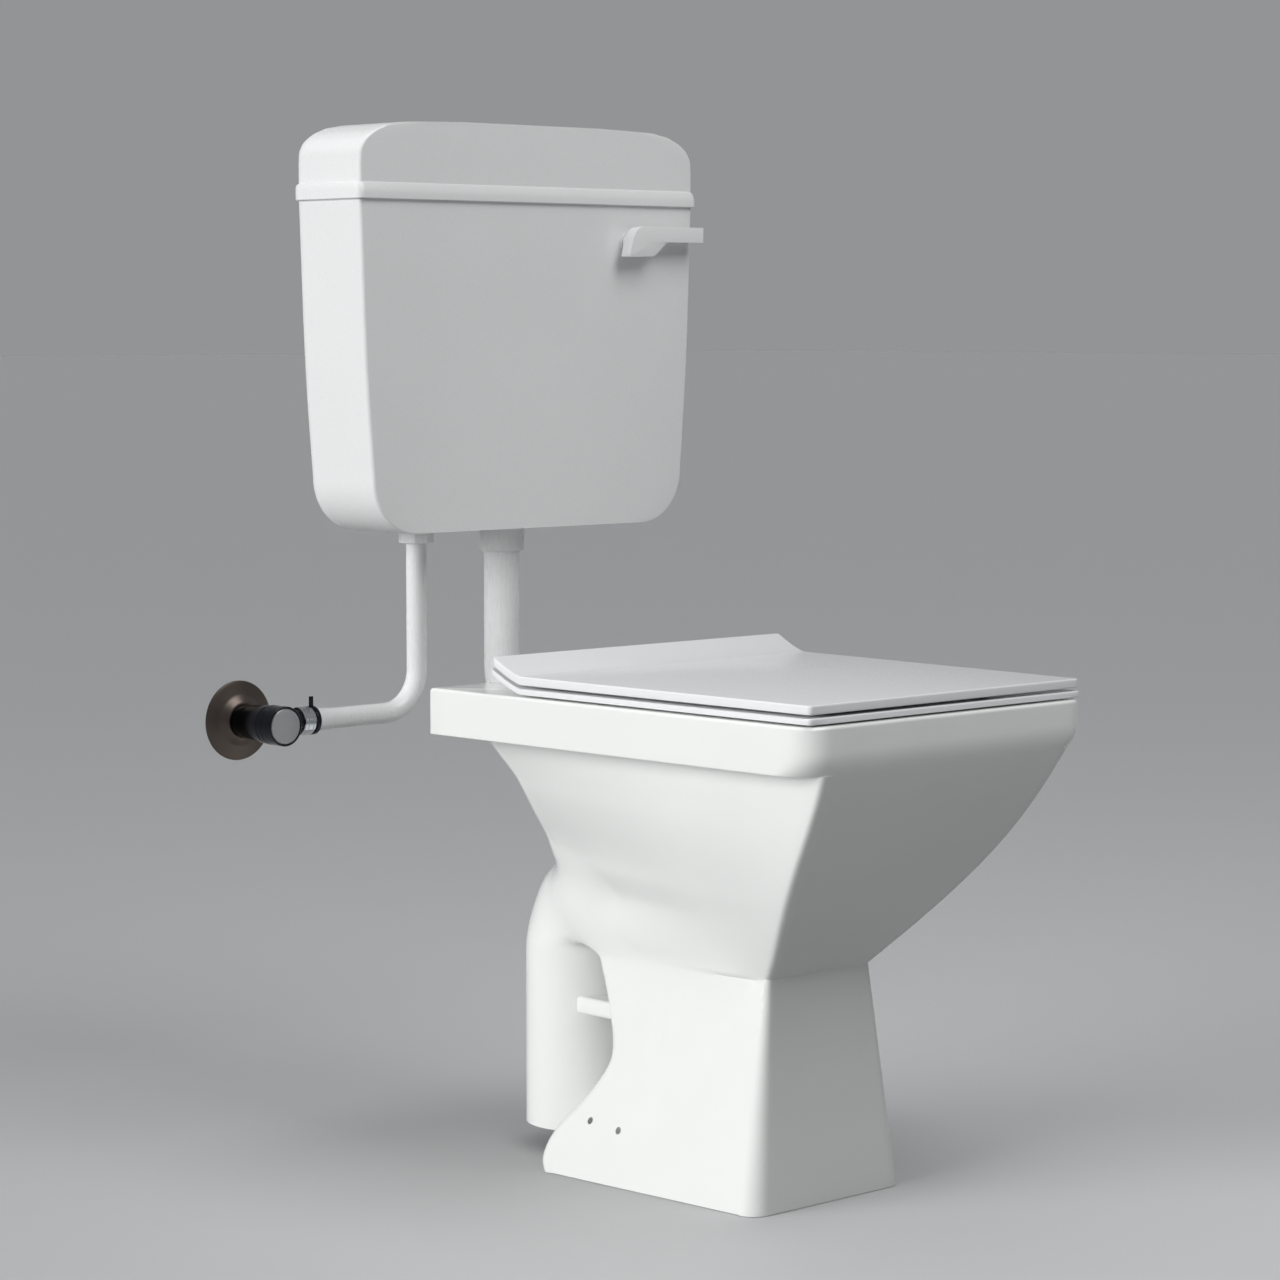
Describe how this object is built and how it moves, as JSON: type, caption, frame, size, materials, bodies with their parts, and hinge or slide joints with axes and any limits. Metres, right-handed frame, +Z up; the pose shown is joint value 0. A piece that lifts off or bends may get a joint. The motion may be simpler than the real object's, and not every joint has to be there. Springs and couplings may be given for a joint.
{
  "type": "wash-down toilet",
  "caption": "Floor-standing wash-down pan with a square rim and waisted foot, thin seat and lid, and a slim wall cistern with its flush pipe, lever and inlet valve.",
  "frame": {"origin": "on the floor under the front wall of the pan's foot, on the mid-plane", "axes": "+Z up, +Y towards the wall behind the cistern, +X towards the side of the flush lever"},
  "size_m": [0.4879, 0.598, 0.8945],
  "materials": {
    "glazed_ceramic": "glossy fired glaze",
    "seat_plastic": "gloss moulded",
    "tank_plastic": "satin-gloss moulded",
    "pipe_plastic": "gloss moulded",
    "fitting_plastic": "matte moulded",
    "dark_plastic": "matte moulded",
    "seal_rubber": "matte",
    "grey_rubber": "matte",
    "chrome": "polished",
    "dark_chrome": "polished, dark",
    "satin_steel": "brushed",
    "steel": "bright zinc"
  },
  "bodies": {
    "pan": {"pan_body": "glazed_ceramic", "cistern_tank": "tank_plastic", "lever_bush": "tank_plastic", "flush_pipe": "pipe_plastic", "inlet_pipe": "pipe_plastic", "flush_coupling_nut": "pipe_plastic", "inlet_nut": "pipe_plastic", "flush_valve_body": "fitting_plastic", "overflow_pipe": "fitting_plastic", "fill_valve_body": "fitting_plastic", "lever_bush_nut": "fitting_plastic", "wing_nut_left": "fitting_plastic", "wing_nut_right": "fitting_plastic", "fill_valve_cap": "dark_plastic", "flush_valve_washer": "seal_rubber", "flush_pipe_seal": "seal_rubber", "fill_valve_washer": "seal_rubber", "flush_connector": "seal_rubber", "hinge_washer_left": "seal_rubber", "hinge_washer_right": "seal_rubber", "hinge_post_left": "chrome", "hinge_post_right": "chrome", "valve_outlet_nut": "chrome", "angle_valve_body": "dark_chrome", "inlet_clamp": "dark_chrome", "valve_wall_flange": "satin_steel", "hinge_pin_left": "steel", "hinge_pin_right": "steel", "hinge_stud_left": "steel", "hinge_stud_right": "steel", "float_arm_pin": "steel"},
    "seat": {"seat_ring": "seat_plastic", "seat_bumper_front_left": "grey_rubber", "seat_bumper_front_right": "grey_rubber", "seat_bumper_back_left": "grey_rubber", "seat_bumper_back_right": "grey_rubber"},
    "lid": {"seat_lid": "seat_plastic", "lid_bumper_front_left": "grey_rubber", "lid_bumper_front_right": "grey_rubber", "lid_bumper_back_left": "grey_rubber", "lid_bumper_back_right": "grey_rubber"},
    "cistern_cover": {"cistern_lid": "tank_plastic"},
    "lever": {"flush_lever": "tank_plastic", "lever_arm": "dark_plastic"},
    "plug": {"flush_plug": "dark_plastic", "flush_plug_seal": "seal_rubber"},
    "float": {"float_cup": "pipe_plastic"},
    "float_lever": {"float_arm": "dark_plastic"},
    "stop_knob": {"valve_knob": "dark_chrome", "valve_knob_cap": "satin_steel"}
  },
  "joints": [
    {"name": "seat_hinge", "type": "hinge", "parent": "pan", "child": "seat", "pos_m": [0, 0.24303, 0.432], "axis": [1, 0, 0], "range_deg": [-95, 0]},
    {"name": "lid_hinge", "type": "hinge", "parent": "seat", "child": "lid", "pos_m": [0, 0.24303, 0.432], "axis": [-1, 0, 0], "range_deg": [0, 100]},
    {"name": "cistern_lid_lift", "type": "slide", "parent": "pan", "child": "cistern_cover", "axis": [0, 0, 1], "range_m": [0, 0.06]},
    {"name": "flush_lever_turn", "type": "hinge", "parent": "pan", "child": "lever", "pos_m": [0.112, 0.36203, 0.794], "axis": [0, 1, 0], "range_deg": [0, 16], "stiffness_Nm_per_rad": 0.4, "springref_deg": -8.59},
    {"name": "flush_plug_lift", "type": "slide", "parent": "pan", "child": "plug", "axis": [0, 0, 1], "range_m": [0, 0.032]},
    {"name": "float_slide", "type": "slide", "parent": "pan", "child": "float", "axis": [0, 0, 1], "range_m": [0, 0.02]},
    {"name": "float_arm_turn", "type": "hinge", "parent": "pan", "child": "float_lever", "pos_m": [-0.071, 0.41503, 0.79], "axis": [0, 1, 0], "range_deg": [0, 24]},
    {"name": "stop_knob_turn", "type": "hinge", "parent": "pan", "child": "stop_knob", "pos_m": [-0.256, 0.39903, 0.381], "axis": [0, 1, 0], "range_deg": [0, 90]}
  ],
  "couplings": [
    {"joint": "flush_plug_lift", "follows": "flush_lever_turn", "m_per_rad": 0.112},
    {"joint": "float_arm_turn", "follows": "float_slide", "rad_per_m": 20.9}
  ]
}
